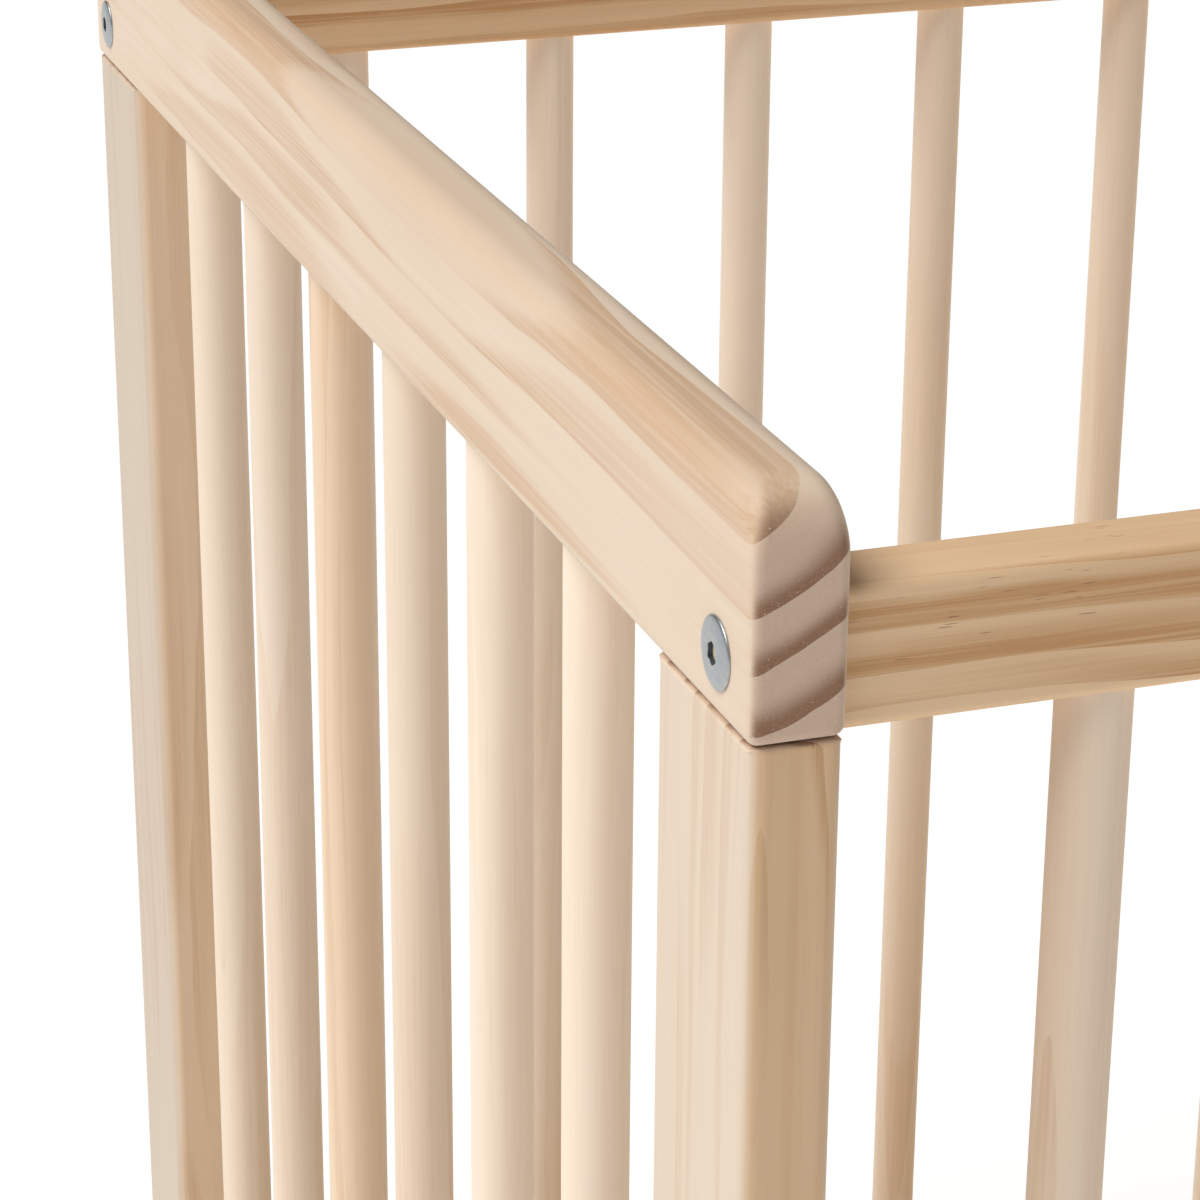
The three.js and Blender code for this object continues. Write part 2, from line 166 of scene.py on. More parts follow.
def pine_finish():
    """Bare sanded pine, cut from a log: rings round the pith, each darker towards its outer edge."""
    pine = Finish("bare_pine")
    across, depth, along = pine.parts(pine.attribute("log_place"))
    ring_width, tone, warmth = pine.parts(pine.attribute("board"))
    figure, resin, heart = pine.parts(pine.attribute("grain"))

    # The log is never straight: its pith wanders, slowly along its length and a little across.
    bend = pine.noise(pine.vector(across * 0.004, depth * 0.004, along * 0.0035), 1.0, 0.4, "Color")
    bend_x, bend_y, _ = pine.parts(bend)
    ripple = pine.noise(pine.vector(across * 0.05, depth * 0.05, along * 0.010), 2.0, 0.5) - 0.5
    side = across + (bend_x - 0.5) * 26.0
    rise = depth + (bend_y - 0.5) * 26.0
    radius = (side * side + rise * rise).root() + ripple * 4.0

    # Fibres, streaks and clouds run along it.
    fibre = pine.noise(pine.vector(across * 1.5, depth * 1.5, along * 0.022), 4.0, 0.62) - 0.5
    streak = pine.noise(pine.vector(across * 0.33, depth * 0.33, along * 0.004), 3.0, 0.55) - 0.5
    cloud = pine.noise(pine.vector(across * 0.02, depth * 0.02, along * 0.006), 2.0, 0.5) - 0.5

    # Rings of uneven width, each fading from pale early wood to a dark, sharp-edged late wood that
    # thins out and comes back along the log. Round the pith lies the warmer heartwood.
    ring = radius / ring_width
    uneven = pine.noise(pine.vector(ring * 0.55, along * 0.0006, ring_width), 0.0) - 0.5
    ring = ring + uneven * 0.9
    strength = pine.noise(pine.vector(ring * 0.9, along * 0.003, ring_width * 7.0), 0.0)
    strength = strength.between(0.25, 0.7)
    start = pine.noise(pine.vector(ring * 0.6, along * 0.0055, ring_width * 3.0), 0.0)
    start = start.between(0.30, 0.68) * 0.85
    thread = pine.noise(pine.vector(across, depth, along * 0.010), 3.0, 0.6).between(0.32, 0.68)
    part = ring.part()
    late = part.between(start, start + 0.55) * (0.35 + strength * 0.65) * (0.55 + thread * 0.8)
    grown = late * figure
    heartwood = 1.0 - (radius + streak * 14.0).between(heart - 9.0, heart + 3.0)

    # Resin canals run along the log, and open as short dark dashes where it is resinous.
    canal = pine.noise(pine.vector(across * 1.9, depth * 1.9, along * 0.09), 1.0, 0.4)
    knotty = pine.noise(pine.vector(across * 0.06, depth * 0.06, along * 0.012), 1.0, 0.5)
    knotty = knotty.between(0.42, 0.6)
    pitch = (canal + (knotty - 1.0) * 0.08).between(0.715, 0.75) * resin
    pore = canal.between(0.72, 0.76)

    # Sawn along the fibres it is cream to tan, by the board's warmth.
    early_side = pine.mix(warmth, srgb(239, 222, 202), srgb(229, 195, 156))
    late_side = pine.mix(warmth, srgb(222, 190, 158), srgb(194, 146, 96))
    side_colour = pine.mix(grown, early_side, late_side)
    side_colour = pine.mix(
        (streak * 0.9 + cloud * 1.2 + 0.35).between(0.0, 1.0) * 0.4 * figure, side_colour, late_side,
    )
    side_colour = pine.mix(heartwood * 0.28, side_colour, late_side)
    side_colour = pine.mix(pitch * 0.8, side_colour, srgb(112, 76, 46))

    # Cut across the fibres it is greyer and darker, with brown late wood and pale flecks.
    late_end = part.between(0.15, 0.85) * part.between(0.35, 1.05)
    mottle = pine.noise(pine.vector(across * 2.6, depth * 2.6, along), 3.0, 0.65) - 0.5
    late_end = late_end * figure * (1.4 + mottle * 1.2)
    end_colour = pine.mix(late_end, srgb(214, 187, 165), srgb(146, 108, 82))
    end_colour = pine.mix((mottle + 0.5).between(0.45, 0.7) * 0.35, end_colour, srgb(196, 162, 136))
    end_colour = pine.mix(heartwood * 0.35, end_colour, srgb(206, 170, 138))
    end_colour = pine.mix(pore * late_end * 0.8, end_colour, srgb(240, 230, 222))

    normal = pine.node("ShaderNodeTexCoord", {}, {}, "Normal")
    fibres = pine.attribute("fibres")
    facing = pine.node(
        "ShaderNodeVectorMath", {"operation": "DOT_PRODUCT"}, {0: normal, 1: fibres}, "Value",
    )
    cut_end = abs(facing).between(0.45, 0.95)
    colour = pine.mix(cut_end, side_colour, end_colour)
    colour = pine.scaled(colour, tone * 0.10 + fibre * 0.10 + 1.0)

    height = fibre * 0.6 + grown * 0.4 - pitch * 1.2 + streak * 0.4
    relief = pine.node("ShaderNodeBump", {}, {"Strength": 0.3, "Distance": 0.00012, "Height": height})
    pine.sets(
        base_color=colour,
        roughness=0.56 - grown * 0.08 + cut_end * 0.16 + fibre * 0.2,
        normal=relief,
        ior=1.42,
    )
    return pine.material


bare_pine = pine_finish()

LARGE_CORNER = 8 * MM
LARGE_CORNER_STEPS = 22
ARRIS_STEPS = 9
SIDE_TOP_ROUND = 8 * MM
SIDE_END_CORNER = 16 * MM
SIDE_ARRIS = 3 * MM


def edge_corners(corner_top, corner_bottom, arris_top, arris_bottom, arris_end):
    """The four corners of a board seen from its side, going round from the upper far one."""
    return [
        (1, 1, corner_top, arris_top, arris_end, False),
        (-1, 1, corner_top, arris_top, arris_end, True),
        (-1, -1, corner_bottom, arris_bottom, arris_end, False),
        (1, -1, corner_bottom, arris_bottom, arris_end, True),
    ]


def add_board(mesh, low, high, axes, corners):
    """A board between two corners of a box, with eased arrises. axes names its thickness, its
    length and its height as 0, 1 or 2."""
    thick, long, tall = axes
    middle = (low + high) / 2
    half_thick, half_long = (high[thick] - low[thick]) / 2, (high[long] - low[long]) / 2
    height = high[tall] - low[tall]
    rings = []
    for side in (-1, 1):
        for step in range(ARRIS_STEPS + 1):
            angle = (step if side < 0 else ARRIS_STEPS - step) / ARRIS_STEPS * math.pi / 2
            drawn = 1 - math.sin(angle)
            ring = []
            for sign_long, sign_tall, radius, face, end, backwards in corners:
                steps = LARGE_CORNER_STEPS if radius > LARGE_CORNER else ARRIS_STEPS
                for index in range(steps + 1):
                    turn = (steps - index if backwards else index) / steps
                    arris = end + (face - end) * turn
                    radius_long = max(radius - end * drawn, 0.0)
                    radius_tall = max(radius - face * drawn, 0.0)
                    swing = turn * math.pi / 2
                    out = half_long - end * drawn - radius_long * (1 - math.cos(swing))
                    drop = face * drawn + radius_tall * (1 - math.sin(swing))
                    place = Vector()
                    place[thick] = middle[thick] + side * (half_thick - arris * (1 - math.cos(angle)))
                    place[long] = middle[long] + sign_long * out
                    place[tall] = low[tall] + (height - drop if sign_tall > 0 else drop)
                    ring.append(mesh.verts.new(place))
            rings.append(ring)
    count = len(rings[0])
    for ring, after in zip(rings, rings[1:]):
        for index in range(count):
            follow = (index + 1) % count
            mesh.faces.new((ring[index], ring[follow], after[follow], after[index]))
    mesh.faces.new(list(reversed(rings[0])))
    mesh.faces.new(rings[-1])
    bmesh.ops.remove_doubles(mesh, verts=mesh.verts, dist=1e-6)


def add_rod(mesh, start, direction, radius, length, segments=64):
    """A plain round rod, closed at both ends, such as a drill leaves."""
    turn = direction.to_track_quat("Z", "Y").to_matrix().to_4x4()
    place = Matrix.Translation(start + direction * length / 2) @ turn
    bmesh.ops.create_cone(
        mesh, cap_ends=True, segments=segments, radius1=radius, radius2=radius, depth=length,
        matrix=place,
    )


def shape_from(name, mesh):
    """An object from a finished bmesh."""
    bmesh.ops.recalc_face_normals(mesh, faces=mesh.faces)
    data = bpy.data.meshes.new(name)
    mesh.to_mesh(data)
    mesh.free()
    shape = bpy.data.objects.new(name, data)
    bpy.context.scene.collection.objects.link(shape)
    return shape


def cut_away(shape, cutters):
    """Takes the cutters' solids out of a shape, for good."""
    tool = shape_from(shape.name + "_cutter", cutters)
    cut = shape.modifiers.new("cut", "BOOLEAN")
    cut.operation, cut.solver, cut.object = "DIFFERENCE", "EXACT", tool
    bpy.context.view_layer.update()
    result = bpy.data.meshes.new_from_object(shape.evaluated_get(bpy.context.evaluated_depsgraph_get()))
    shape.modifiers.clear()
    shape.data = result
    bpy.data.objects.remove(tool)


SHARPEST_SMOOTH = math.radians(32)


def finish_piece(shape, material, node, body="frame"):
    shape.data.shade_smooth()
    shape.data.set_sharp_from_angle(angle=SHARPEST_SMOOTH)
    weighted = shape.modifiers.new("flat_faces", "WEIGHTED_NORMAL")
    weighted.keep_sharp = True
    weighted.weight = 100
    shape.data.materials.clear()
    shape.data.materials.append(material)
    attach(shape, body)
    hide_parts(node)


FACE_DEPTH = 2 * MM


def saw_from_log(
    shape, along, pith, ring_width, tone=0.0, warmth=0.3, figure=1.0, resin=0.0, heart=0.0, shift=0.0,
    painted_face_light_and_figure=None,
):
    """Says where in a log a piece was cut, and what the log was like. along is the axis of its
    fibres, pith the log's centre on the two other axes, heart the radius of its heartwood and shift
    a move along the log, all in millimetres. tone lightens it. The last argument gives the faces to
    the front and back their own tone, warmth and figure. There the tone and warmth are painted light
    and shade: warmer where those faces turn from the key light, lighter where other parts shade them.
    The figure there is real grain."""
    others = [axis for axis in range(3) if axis != along]
    data = shape.data
    for name in ("log_place", "fibres", "board", "grain"):
        data.attributes.new(name, "FLOAT_VECTOR", "POINT")
    fibres = [0.0, 0.0, 0.0]
    fibres[along] = 1.0
    front = min(vertex.co.y for vertex in data.vertices)
    back = max(vertex.co.y for vertex in data.vertices)
    places, boards, grains = [], [], []
    for vertex in data.vertices:
        place = vertex.co / MM
        places += [place[others[0]] - pith[0], place[others[1]] - pith[1], place[along] + shift]
        looks = [tone, warmth, figure]
        # On the faces to the front and back, the tone and warmth blend into painted light and shade.
        if painted_face_light_and_figure:
            near = max(0.0, 1.0 - min(vertex.co.y - front, back - vertex.co.y) / FACE_DEPTH)
            looks = [inner + (edge - inner) * near for inner, edge in zip(looks, painted_face_light_and_figure)]
        boards += [ring_width, looks[0], looks[1]]
        grains += [looks[2], resin, heart]
    count = len(data.vertices)
    data.attributes["log_place"].data.foreach_set("vector", places)
    data.attributes["fibres"].data.foreach_set("vector", fibres * count)
    data.attributes["board"].data.foreach_set("vector", boards)
    data.attributes["grain"].data.foreach_set("vector", grains)


spindle_rows = {
    side: [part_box(f"{side}_spindle_{index}") for index in range(1, count + 1)]
    for side, count in (("left", 6), ("right", 6), ("front", 7), ("back", 7))
}
HOLE_CLEARANCE = 0.3 * MM
OVERRUN = 5 * MM


def spindle_holes(side, level, upwards):
    """Blind holes that take a row of spindles, from the face at the given level."""
    drills = bmesh.new()
    for low, high in spindle_rows[side]:
        centre = (low + high) / 2
        radius = (high.x - low.x) / 2 + HOLE_CLEARANCE
        bottom = level - OVERRUN if upwards else low.z - HOLE_CLEARANCE
        top = high.z + HOLE_CLEARANCE if upwards else level + OVERRUN
        add_rod(drills, Vector((centre.x, centre.y, bottom)), Vector((0, 0, 1)), radius, top - bottom)
    return drills


# The pith lies out from the rail's outer face and up from its underside, in millimetres.
PITH_OUT, PITH_UP = 13.8, 84.7
SIDE_RAIL_RINGS = 13.3
HEARTWOOD = 42.0
for side, shift in (("left", 900), ("right", 4300)):
    node = f"{side}_top_rail"
    low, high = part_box(node)
    mesh = bmesh.new()
    add_board(mesh, low, high, (0, 1, 2), edge_corners(
        SIDE_END_CORNER, SIDE_ARRIS, SIDE_TOP_ROUND, SIDE_ARRIS, SIDE_ARRIS,
    ))
    rail = shape_from(f"{side}_cap_rail", mesh)
    cut_away(rail, spindle_holes(side, low.z, True))
    outward = -1 if side == "left" else 1
    outer = (low.x if side == "left" else high.x) / MM
    saw_from_log(
        rail, 1, (outer + outward * PITH_OUT, low.z / MM + PITH_UP), SIDE_RAIL_RINGS,
        tone=-0.2, warmth=0.2, figure=0.9, heart=HEARTWOOD, shift=shift,
    )
    finish_piece(rail, bare_pine, node)


# --- Posts ----------------------------------------------------------------------------------
# Flat pine posts under the ends of the side top rails, down to the floor. Their long arrises are
# rounded and their ends only eased. Each stops a thin gap under the rail; the tenon that joins it
# to the rail is not built.
POST_ARRIS = 4 * MM
POST_END_ARRIS = 1.5 * MM
SHOULDER_GAP = 0.3 * MM
draw = random.Random(7)
# Pith, ring width, tone, warmth and figure, and then the last three for the narrow faces. On those
# faces the tone and warmth are painted light and shade, and the figure is real grain.
POST_LOGS = {
    "left_front": ((-352, -395), 9.0, -0.6, 0.15, 0.4, (-0.3, 1.15, 1.2)),
    "left_back": ((-250, 410), 9.0, -2.1, 0.1, 0.3, (0.7, 0.6, 0.4)),
    "right_front": ((420, -210), 7.0, 0.0, 0.3, 0.5, (0.0, 0.8, 0.8)),
    "right_back": ((250, 420), 8.0, -0.1, 0.25, 0.4, (0.0, 0.8, 0.8)),
}
for place, (pith, ring_width, tone, warmth, figure, painted_face_light_and_figure) in POST_LOGS.items():
    node = f"{place}_post"
    low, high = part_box(node)
    high.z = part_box("left_top_rail")[0].z - SHOULDER_GAP
    mesh = bmesh.new()
    add_board(mesh, low, high, (0, 1, 2), edge_corners(
        POST_END_ARRIS, POST_END_ARRIS, POST_END_ARRIS, POST_END_ARRIS, POST_ARRIS,
    ))
    post = shape_from(f"{place}_flat_post", mesh)
    saw_from_log(
        post, 2, pith, ring_width, tone, warmth, figure, shift=draw.uniform(500, 6000), painted_face_light_and_figure=painted_face_light_and_figure,
    )
    finish_piece(post, bare_pine, node)


# --- Front and back rails, and the side bottom rails ------------------------------------------
# Slimmer pine rails with eased long arrises, butted square against the side panels. They are
# drilled for the spindles, and from the inside for the barrel nuts.
RAIL_ARRIS = 3 * MM
RAIL_END_ARRIS = 0.4 * MM
NUT_HOLE_RADIUS = 5.3 * MM
NUT_HOLE_DRILL = 30 * MM
# Pith, ring width, tone, warmth, figure, resin and place along the log.
RAIL_LOGS = {
    "front_top": ((-288.1, 729.8), 8.0, 0.6, 1.0, 0.95, 1.0, 4701.9),
    "back_top": ((420, 600), 8.0, 0.9, 1.0, 0.9, 0.3, 2741.0),
    "front_bottom": ((-280, 150), 8.0, -0.1, 0.8, 0.9, 0.4, 4518.0),
    "back_bottom": ((250, 10), 9.0, -0.1, 0.8, 0.9, 0.3, 1206.0),
    "left_bottom": ((-250, 130), 8.5, -0.1, 0.6, 0.8, 0.3, 3371.0),
    "right_bottom": ((410, 20), 8.0, 0.0, 0.6, 0.8, 0.2, 5930.0),
}
rail_corners = edge_corners(RAIL_END_ARRIS, RAIL_END_ARRIS, RAIL_ARRIS, RAIL_ARRIS, RAIL_END_ARRIS)
for place, (pith, ring_width, tone, warmth, figure, resin, shift) in RAIL_LOGS.items():
    side, level = place.split("_")
    node = f"{place}_rail"
    low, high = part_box(node)
    along = 0
    if side in ("left", "right"):
        along = 1
        low.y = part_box(f"{side}_front_post")[1].y + SHOULDER_GAP
        high.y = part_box(f"{side}_back_post")[0].y - SHOULDER_GAP
    mesh = bmesh.new()
    add_board(mesh, low, high, (1 - along, along, 2), rail_corners)
    rail = shape_from(f"{place}_slim_rail", mesh)
    drills = spindle_holes(side, low.z if level == "top" else high.z, level == "top")
    if along == 0:
        inward = 1 if side == "front" else -1
        for end in ("left", "right"):
            nut_low, nut_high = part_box(f"{side}_{end}_{'upper' if level == 'top' else 'lower'}_nut")
            nut = (nut_low + nut_high) / 2
            bottom = nut.y - inward * ((nut_high.y - nut_low.y) / 2 + HOLE_CLEARANCE)
            mouth = Vector((nut.x, bottom, nut.z))
            add_rod(drills, mouth, Vector((0, inward, 0)), NUT_HOLE_RADIUS, NUT_HOLE_DRILL)
    cut_away(rail, drills)
    saw_from_log(rail, along, pith, ring_width, tone, warmth, figure, resin, shift=shift)
    finish_piece(rail, bare_pine, node)


# --- Spindles -------------------------------------------------------------------------------
# Round pine dowels with eased ends, glued into the blind holes of the rails. They come from many
# logs, so some are creamy and some are warm.
SPINDLE_SEGMENTS = 56
SPINDLE_EASE = 1 * MM
# Tone and warmth of each spindle, from the front to the back or from the left to the right.
SPINDLE_TINTS = {
    "left": ((1.6, 0.0), (1.4, 0.0), (0.7, 0.1), (1.1, 0.5), (0.6, 0.0), (0.7, 0.1)),
    "right": ((1.1, 0.2), (0.8, 0.4), (1.0, 0.0), (1.1, 0.3), (0.9, 0.6), (1.0, 0.1)),
    "front": ((0.4, 0.25), (1.0, 0.5), (1.1, 0.1), (0.8, 0.3), (1.1, 0.0), (1.0, 0.7), (0.9, 0.2)),
    "back": ((0.9, 0.15), (1.0, 0.0), (1.2, 0.0), (0.9, 0.2), (1.0, 0.2), (0.9, 0.1), (1.0, 0.3)),
}
for side, row in spindle_rows.items():
    for index, (low, high) in enumerate(row, start=1):
        centre = (low + high) / 2
        radius = (high.x - low.x) / 2
        mesh = bmesh.new()
        rings = []
        for level, reach in (
            (low.z, radius - SPINDLE_EASE),
            (low.z + 0.3 * SPINDLE_EASE, radius - 0.3 * SPINDLE_EASE),
            (low.z + SPINDLE_EASE, radius),
            (high.z - SPINDLE_EASE, radius),
            (high.z - 0.3 * SPINDLE_EASE, radius - 0.3 * SPINDLE_EASE),
            (high.z, radius - SPINDLE_EASE),
        ):
            rings.append([
                mesh.verts.new((
                    centre.x + reach * math.cos(2 * math.pi * step / SPINDLE_SEGMENTS),
                    centre.y + reach * math.sin(2 * math.pi * step / SPINDLE_SEGMENTS),
                    level,
                ))
                for step in range(SPINDLE_SEGMENTS)
            ])
        for ring, after in zip(rings, rings[1:]):
            for step in range(SPINDLE_SEGMENTS):
                follow = (step + 1) % SPINDLE_SEGMENTS
                mesh.faces.new((ring[step], ring[follow], after[follow], after[step]))
        mesh.faces.new(list(reversed(rings[0])))
        mesh.faces.new(rings[-1])
        spindle = shape_from(f"{side}_dowel_{index}", mesh)
        bearing, distance = draw.uniform(0, 2 * math.pi), draw.uniform(30, 90)
        pith = (
            centre.x / MM + distance * math.cos(bearing),
            centre.y / MM + distance * math.sin(bearing),
        )
        tone, warmth = SPINDLE_TINTS[side][index - 1]
        saw_from_log(
            spindle, 2, pith, draw.uniform(6.0, 12.0), tone, warmth, draw.uniform(0.15, 0.4),
            shift=draw.uniform(500, 9000),
        )
        finish_piece(spindle, bare_pine, f"{side}_spindle_{index}")


# --- Connector bolts ------------------------------------------------------------------------
# Zinc-plated steel bolts with a broad, slightly domed head and a hexagon socket. They go through
# the side panels into barrel nuts in the front and back rails.
def zinc_finish():
    """Bright zinc plating: bluish white, faintly cloudy, with turning marks, and with painted shade
    inside the hexagon socket.
    """
    zinc = Finish("zinc_plating")
    x, y, z = zinc.parts(zinc.attribute("from_axis"))
    reach = (y * y + z * z).root()
    cloud = zinc.noise(zinc.vector(x * 0.5, y * 0.5, z * 0.5), 3.0, 0.55)
    turned = zinc.noise(zinc.vector(reach * 5.0, 0.0, x * 0.4), 2.0, 0.6)
    colour = zinc.mix(cloud.between(0.3, 0.75), srgb(164, 171, 176), srgb(186, 187, 184))
    # Painted shade: the inside of the hexagon socket is darkened to blue-grey, as the recess lies in
    # shade.
    socket = (1.0 - reach.between(2.9, 3.0)) * x.between(-1.25, -1.0) * (1.0 - x.between(2.0, 2.5))
    colour = zinc.mix(socket * 0.85, colour, srgb(58, 76, 86))
    relief = zinc.node("ShaderNodeBump", {}, {"Strength": 0.12, "Distance": 0.00005, "Height": turned})
    zinc.sets(base_color=colour, metallic=1.0, roughness=0.30 + cloud * 0.2, normal=relief)
    return zinc.material


zinc_plating = zinc_finish()
HEAD_HEIGHT = 1.3 * MM
HEAD_PROFILE_MM = (
    (0.0, 1.3), (4.2, 1.3), (5.3, 1.26), (6.4, 1.12), (7.4, 0.92), (7.9, 0.78), (8.2, 0.66), (8.4, 0.5),
    (8.5, 0.3), (8.48, 0.08), (8.4, 0.0), (3.4, 0.0), (3.0, -0.4),
)
SHANK_RADIUS = 3 * MM
SHANK_TIP = 0.8 * MM
SOCKET_FLATS = 5 * MM
SOCKET_DEPTH = 3 * MM
CHAMFER_INNER = 0.35 * MM
CHAMFER_OUTER = 0.65 * MM
CHAMFER_DEPTH = 1 * MM
TURNED_SEGMENTS = 96


def add_turned(mesh, profile, segments=TURNED_SEGMENTS):
    """A turned solid on the X axis from (radius, place) pairs in metres, closed on the axis."""
    rings = []
    for radius, place in profile:
        if radius == 0.0:
            rings.append([mesh.verts.new((place, 0.0, 0.0))])
            continue
        rings.append([
            mesh.verts.new((
                place,
                radius * math.cos(2 * math.pi * step / segments),
                radius * math.sin(2 * math.pi * step / segments),
            ))
            for step in range(segments)
        ])
    for ring, after in zip(rings, rings[1:]):
        for step in range(segments):
            follow = (step + 1) % segments
            if len(ring) == 1:
                mesh.faces.new((ring[0], after[follow], after[step]))
            elif len(after) == 1:
                mesh.faces.new((ring[step], ring[follow], after[0]))
            else:
                mesh.faces.new((ring[step], ring[follow], after[follow], after[step]))


def note_axis(shape):
    """Keeps each point's place from the piece's own axis, in millimetres, for its turning marks."""
    shape.data.attributes.new("from_axis", "FLOAT_VECTOR", "POINT")
    places = [value for vertex in shape.data.vertices for value in vertex.co / MM]
    shape.data.attributes["from_axis"].data.foreach_set("vector", places)


for side, outward in (("left", -1), ("right", 1)):
    for end in ("front", "back"):
        for level in ("upper", "lower"):
            node = f"{side}_{end}_{level}_bolt"
            low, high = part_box(node)
            length = high.x - low.x - HEAD_HEIGHT
            profile = [(radius * MM, -place * MM) for radius, place in HEAD_PROFILE_MM]
            profile += [
                (SHANK_RADIUS, length - SHANK_TIP), (SHANK_RADIUS - SHANK_TIP, length), (0.0, length),
            ]
            mesh = bmesh.new()
            add_turned(mesh, profile)
            bolt = shape_from(f"{side}_{end}_{level}_connector", mesh)
            key_hole = bmesh.new()
            bottom = Vector((SOCKET_DEPTH - HEAD_HEIGHT, 0.0, 0.0))
            corner = SOCKET_FLATS / math.sqrt(3)
            add_rod(key_hole, bottom, Vector((-1, 0, 0)), corner, 2 * SOCKET_DEPTH, 6)
            cut_away(bolt, key_hole)
            # The mouth of the socket is bevelled.
            chamfer = bmesh.new()
            outwards = Matrix.Rotation(-math.pi / 2, 4, "Y")
            bmesh.ops.create_cone(
                chamfer, cap_ends=True, segments=48, radius1=SOCKET_FLATS / 2 - CHAMFER_INNER,
                radius2=SOCKET_FLATS / 2 + CHAMFER_OUTER, depth=CHAMFER_DEPTH,
                matrix=Matrix.Translation((-HEAD_HEIGHT, 0, 0)) @ outwards,
            )
            cut_away(bolt, chamfer)
            note_axis(bolt)
            centre = (low + high) / 2
            under_head = low.x + HEAD_HEIGHT if outward < 0 else high.x - HEAD_HEIGHT
            turn = Matrix.Rotation(0.0 if outward < 0 else math.pi, 4, "Z")
            bolt.data.transform(Matrix.Translation((under_head, centre.y, centre.z)) @ turn)
            finish_piece(bolt, zinc_plating, node)


# --- Barrel nuts ----------------------------------------------------------------------------
# Short steel dowels that lie across the front and back rails, each with a threaded cross hole
# for its bolt and a screwdriver slot in the end that shows inside the playpen.
NUT_EASE = 0.6 * MM
NUT_SEGMENTS = 64
SLOT_WIDTH = 1.2 * MM
SLOT_DEPTH = 1.4 * MM
for side in ("front", "back"):
    inward = 1 if side == "front" else -1
    for end in ("left", "right"):
        for level in ("upper", "lower"):
            node = f"{side}_{end}_{level}_nut"
            low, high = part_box(node)
            radius = (high.x - low.x) / 2
            half = (high.y - low.y) / 2
            mesh = bmesh.new()
            slight = 0.2 * NUT_EASE
            add_turned(mesh, [
                (0.0, -half), (radius - NUT_EASE, -half), (radius - slight, -half + slight),
                (radius, -half + NUT_EASE), (radius, half - NUT_EASE),
                (radius - slight, half - slight), (radius - NUT_EASE, half), (0.0, half),
            ], NUT_SEGMENTS)
            nut = shape_from(f"{side}_{end}_{level}_barrel", mesh)
            cuts = bmesh.new()
            bore = SHANK_RADIUS + HOLE_CLEARANCE
            add_rod(cuts, Vector((0, -2 * radius, 0)), Vector((0, 1, 0)), bore, 4 * radius, 48)
            cut_away(nut, cuts)
            slot = bmesh.new()
            across = Matrix.Diagonal((2 * SLOT_DEPTH, 3 * radius, SLOT_WIDTH, 1.0))
            bmesh.ops.create_cube(slot, size=1.0, matrix=Matrix.Translation((half, 0, 0)) @ across)
            cut_away(nut, slot)
            note_axis(nut)
            turn = Matrix.Rotation(inward * math.pi / 2, 4, "Z")
            nut.data.transform(Matrix.Translation((low + high) / 2) @ turn)
            finish_piece(nut, zinc_plating, node)


# --- Base -----------------------------------------------------------------------------------
# Two square pine battens glued along the insides of the side panels, and a loose plywood board
# that lies on them and lifts out.
BATTEN_ARRIS = 1 * MM
for side, pith in (("left", (-340, 120)), ("right", (330, -20))):
    node = f"{side}_batten"
    low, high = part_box(node)
    mesh = bmesh.new()
    add_board(mesh, low, high, (0, 1, 2), edge_corners(*[BATTEN_ARRIS] * 5))
    batten = shape_from(f"{side}_base_batten", mesh)
    saw_from_log(batten, 1, pith, 5.5, 0.0, 0.4, shift=draw.uniform(500, 6000))
    finish_piece(batten, bare_pine, node)

BASE_CORNER = 4 * MM
BASE_ARRIS = 0.8 * MM
PLIES = 5
BASE_THICKNESS_MM = 9.0


def plywood_finish():
    """Sanded pine plywood: rotary-cut flame figure on the faces, layers at the edges."""
    ply = Finish("pine_plywood")
    across, along, up = ply.parts(ply.attribute("sheet_place"))
    bend = ply.noise(ply.vector(across * 0.006, along * 0.0016, 1.0), 2.0, 0.5) - 0.5
    flame = (across * 0.012 + bend * 9.0 + along * 0.0004).part()
    late = flame.ramp((0.0, 0.5), (0.04, 0.0), (0.5, 0.04), (0.88, 0.8), (1.0, 1.0))
    fibre = ply.noise(ply.vector(across * 1.3, along * 0.02, up), 4.0, 0.6) - 0.5
    cloud = ply.noise(ply.vector(across * 0.008, along * 0.004, 3.0), 2.0, 0.5)
    face = ply.mix(late * 0.8, srgb(236, 216, 184), srgb(214, 178, 132))
    face = ply.mix(cloud.between(0.3, 0.8) * 0.3, face, srgb(224, 192, 150))
    layer = (up * (PLIES / BASE_THICKNESS_MM)).part().between(0.42, 0.58)
    grit = ply.noise(ply.vector(across * 0.8, along * 0.8, up * 3.0), 3.0, 0.6)
    edge = ply.mix(layer, srgb(226, 200, 162), srgb(176, 138, 98))
    edge = ply.mix(grit.between(0.35, 0.8) * 0.4, edge, srgb(150, 112, 78))
    normal = ply.node("ShaderNodeTexCoord", {}, {}, "Normal")
    upright = abs(ply.parts(normal)[2]).between(0.4, 0.8)
    colour = ply.mix(upright, edge, face)
    colour = ply.scaled(colour, fibre * 0.14 + 1.0)
    height = fibre + late * 0.3
    relief = ply.node("ShaderNodeBump", {}, {"Strength": 0.3, "Distance": 0.0001, "Height": height})
    ply.sets(base_color=colour, roughness=0.6 + fibre * 0.15, normal=relief)
    return ply.material


low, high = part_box("base_board")
mesh = bmesh.new()
base_corners = edge_corners(BASE_CORNER, BASE_CORNER, BASE_ARRIS, BASE_ARRIS, BASE_ARRIS)
add_board(mesh, low, high, (2, 0, 1), base_corners)
base = shape_from("lift_out_base", mesh)
base.data.attributes.new("sheet_place", "FLOAT_VECTOR", "POINT")
base.data.attributes["sheet_place"].data.foreach_set(
    "vector",
    [value for vertex in base.data.vertices for value in (
        vertex.co.y / MM, vertex.co.x / MM, (vertex.co.z - low.z) / MM)],
)
finish_piece(base, plywood_finish(), "base_board", "base")


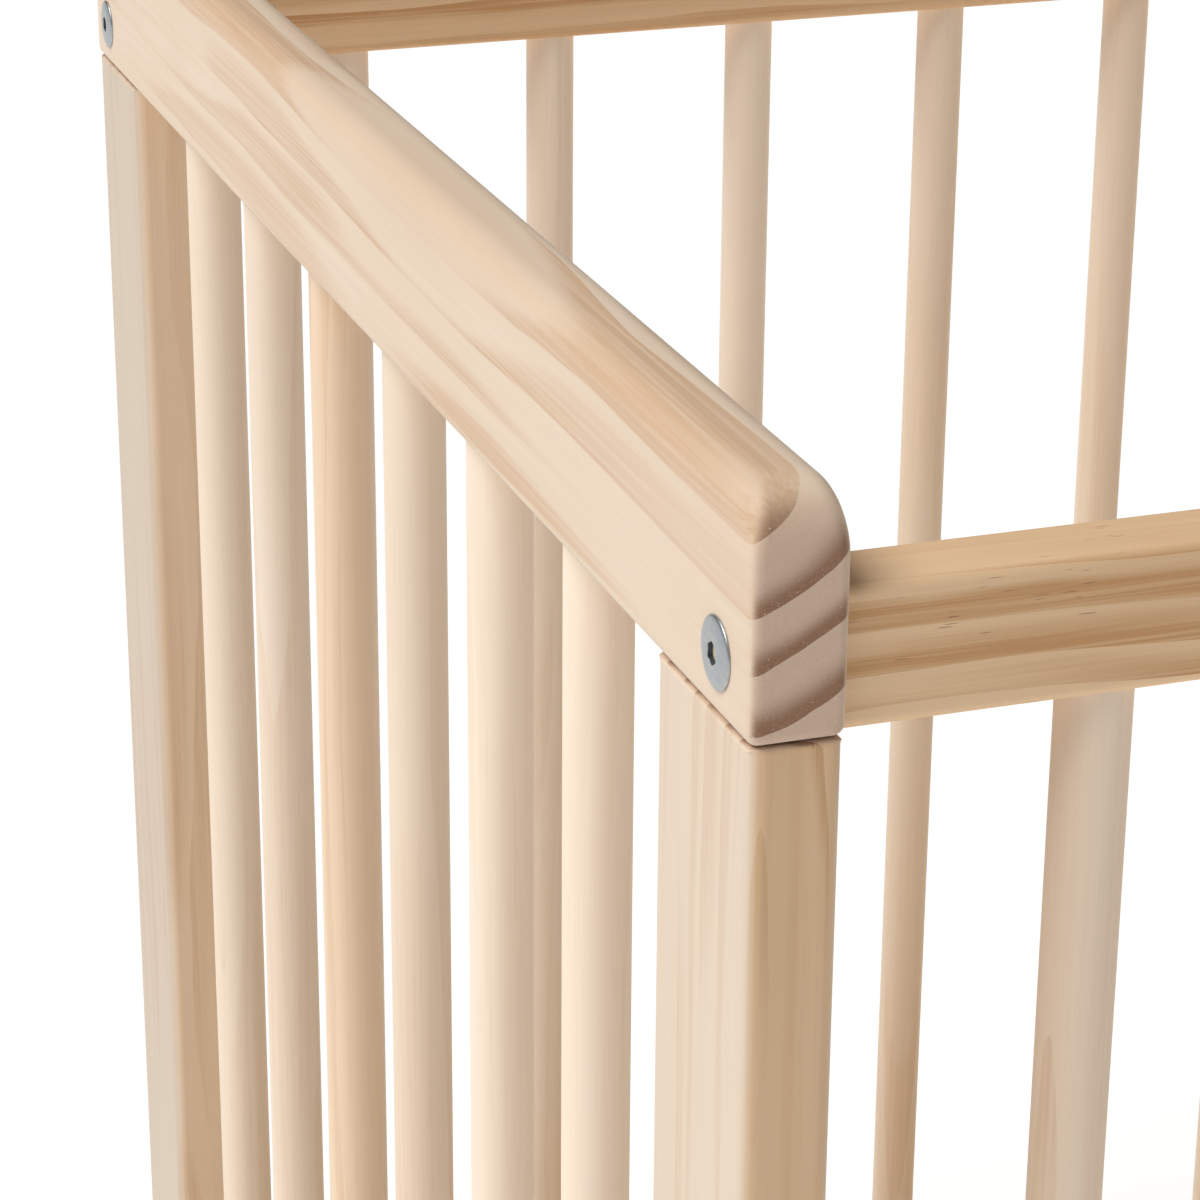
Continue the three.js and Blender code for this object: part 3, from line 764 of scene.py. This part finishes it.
# --- The floor ------------------------------------------------------------------------------
# A plain sheet of white paper, far larger than the playpen and a hair below its feet, with a
# little light of its own. It belongs to the studio, not to the playpen.
FLOOR_HALF = 60.0
FLOOR_GAP = 0.2 * MM
WHITE = (1.0, 1.0, 1.0, 1.0)
PAPER_WHITE = (0.92, 0.92, 0.92, 1.0)
PAPER_GLOW = 0.23
floor_mesh = bmesh.new()
bmesh.ops.create_grid(floor_mesh, x_segments=2, y_segments=2, size=FLOOR_HALF)
floor = shape_from("studio_floor", floor_mesh)
floor.location.z = -FLOOR_GAP
paper = Finish("white_paper")
paper.sets(
    base_color=PAPER_WHITE, roughness=0.9, emission_color=WHITE, emission_strength=PAPER_GLOW,
)
floor.data.materials.append(paper.material)


# --- The light ------------------------------------------------------------------------------
# A white studio: an even white room, and one broad soft light from the left, above and a little
# to the front. The room is seen as white paper.
ROOM_LIGHT = 0.18
KEY_LIGHT = 2.6
KEY_COLOUR = (1.0, 0.99, 0.975)
KEY_SOFTNESS = math.radians(40)
KEY_FROM = Vector((-0.505, -0.02, 0.83))

bpy.context.scene.view_settings.view_transform = "Standard"

studio = bpy.data.worlds.new("studio")
bpy.context.scene.world = studio
room = Nodes(studio)
room_light = room.node("ShaderNodeBackground", {}, {"Color": WHITE, "Strength": ROOM_LIGHT})
room_seen = room.node("ShaderNodeBackground", {}, {"Color": WHITE, "Strength": 1.0})
by_camera = room.node("ShaderNodeLightPath", {}, {}, "Is Camera Ray")
either = room.node("ShaderNodeMixShader", {}, {0: by_camera, 1: room_light, 2: room_seen})
room.ends_in("ShaderNodeOutputWorld", either)

key = bpy.data.objects.new("key_light", bpy.data.lights.new("key_light", "SUN"))
key.data.energy = KEY_LIGHT
key.data.angle = KEY_SOFTNESS
key.data.color = KEY_COLOUR
key.rotation_mode = "QUATERNION"
key.rotation_quaternion = KEY_FROM.to_track_quat("Z", "Y")
bpy.context.scene.collection.objects.link(key)


# --- The view -------------------------------------------------------------------------------
# Seen from outside the front left corner, a little above the top rails, looking down along the
# left side panel.
TURNED_RIGHT = math.radians(19.205)
TIPPED_DOWN = math.radians(21.822)
ROLLED = math.radians(-0.380)
EYE = Vector((-0.60163, -1.00787, 1.00749))
LENS_MM = 111.841
SENSOR_MM = 36.0

ahead = Vector((
    math.sin(TURNED_RIGHT) * math.cos(TIPPED_DOWN),
    math.cos(TURNED_RIGHT) * math.cos(TIPPED_DOWN),
    -math.sin(TIPPED_DOWN),
))
level = Vector((math.cos(TURNED_RIGHT), -math.sin(TURNED_RIGHT), 0.0))
below = ahead.cross(level)
to_right = level * math.cos(ROLLED) + below * math.sin(ROLLED)
downward = below * math.cos(ROLLED) - level * math.sin(ROLLED)

lens = bpy.data.cameras.new("view")
lens.lens = LENS_MM
lens.sensor_width = SENSOR_MM
lens.clip_start = 0.05
lens.clip_end = 200.0
camera = bpy.data.objects.new("view", lens)
bpy.context.scene.collection.objects.link(camera)
facing = Matrix((to_right, -downward, -ahead)).transposed()
camera.matrix_world = Matrix.Translation(EYE) @ facing.to_4x4()
bpy.context.scene.camera = camera
